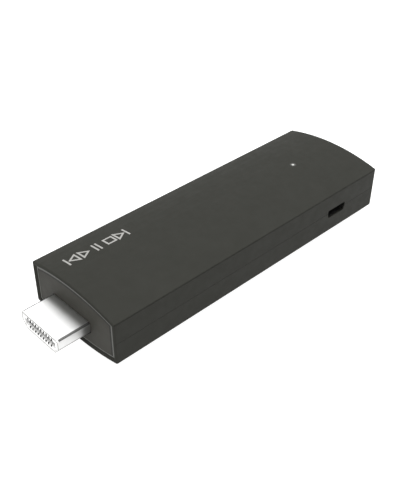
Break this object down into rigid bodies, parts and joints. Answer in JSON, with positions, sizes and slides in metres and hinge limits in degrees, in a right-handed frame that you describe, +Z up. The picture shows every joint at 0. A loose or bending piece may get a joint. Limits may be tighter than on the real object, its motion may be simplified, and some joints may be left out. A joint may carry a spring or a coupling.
{
  "type": "streaming media player",
  "caption": "Stick-shaped streaming media player with an HDMI plug at one end, a micro-USB power socket in one side and a small status light on its crowned top.",
  "frame": {"origin": "middle of the bounding box on the surface that the underside rests on", "axes": "+X along the body from the plug end to the closed rear end, -Y towards the side with the power socket, +Z up"},
  "size_m": [0.0994, 0.0296, 0.0151],
  "materials": {
    "housing": "fine matte moulded texture, warm dark grey",
    "end_panel": "fine matte moulded texture, slightly lighter and warmer",
    "plug_steel": "bright nickel-plated pressed steel",
    "plug_insulator": "pale moulded plastic",
    "gold_contact": "gold-plated stamped contact",
    "socket_steel": "black-plated pressed steel",
    "socket_insulator": "black moulded plastic",
    "light_pipe": "milky translucent plastic",
    "led_body": "white moulded package",
    "circuit_board": "green solder mask",
    "chip_mould": "black moulded epoxy",
    "tinplate": "tin-plated sheet",
    "ferrite": "dark grey ferrite",
    "ceramic_chip": "tan fired ceramic",
    "thermal_pad": "soft grey-blue silicone",
    "heat_spreader": "rolled satin sheet",
    "antenna_metal": "gold-plated stamped sheet",
    "screw_steel": "dark zinc-plated steel"
  },
  "bodies": {
    "root": {"top_cover": "housing", "bottom_cover": "housing", "end_panel": "end_panel", "status_light_pipe": "light_pipe", "hdmi_plug_shell": "plug_steel", "hdmi_insulator": "plug_insulator", "board_screw_1": "screw_steel", "board_screw_2": "screw_steel", "board_screw_3": "screw_steel", "board_screw_4": "screw_steel", "capacitor_1": "ceramic_chip", "capacitor_2": "ceramic_chip", "capacitor_3": "ceramic_chip", "crystal": "tinplate", "flash_chip": "chip_mould", "hdmi_contact_lower_01": "gold_contact", "hdmi_contact_lower_02": "gold_contact", "hdmi_contact_lower_03": "gold_contact", "hdmi_contact_lower_04": "gold_contact", "hdmi_contact_lower_05": "gold_contact", "hdmi_contact_lower_06": "gold_contact", "hdmi_contact_lower_07": "gold_contact", "hdmi_contact_lower_08": "gold_contact", "hdmi_contact_lower_09": "gold_contact", "hdmi_contact_upper_01": "gold_contact", "hdmi_contact_upper_02": "gold_contact", "hdmi_contact_upper_03": "gold_contact", "hdmi_contact_upper_04": "gold_contact", "hdmi_contact_upper_05": "gold_contact", "hdmi_contact_upper_06": "gold_contact", "hdmi_contact_upper_07": "gold_contact", "hdmi_contact_upper_08": "gold_contact", "hdmi_contact_upper_09": "gold_contact", "hdmi_contact_upper_10": "gold_contact", "heat_spreader": "heat_spreader", "inductor_1": "ferrite", "inductor_2": "ferrite", "inner_thermal_pad": "thermal_pad", "main_board": "circuit_board", "memory_chip": "chip_mould", "outer_thermal_pad": "thermal_pad", "power_chip": "chip_mould", "rear_antenna": "antenna_metal", "shield_frame": "tinplate", "shield_lid": "tinplate", "side_antenna": "antenna_metal", "soc_chip": "chip_mould", "spreader_screw_1": "screw_steel", "spreader_screw_2": "screw_steel", "status_led": "led_body", "usb_pin_1": "gold_contact", "usb_pin_2": "gold_contact", "usb_pin_3": "gold_contact", "usb_pin_4": "gold_contact", "usb_pin_5": "gold_contact", "usb_socket_insulator": "socket_insulator", "usb_socket_shell": "socket_steel", "wifi_module": "tinplate"}
  },
  "joints": []
}
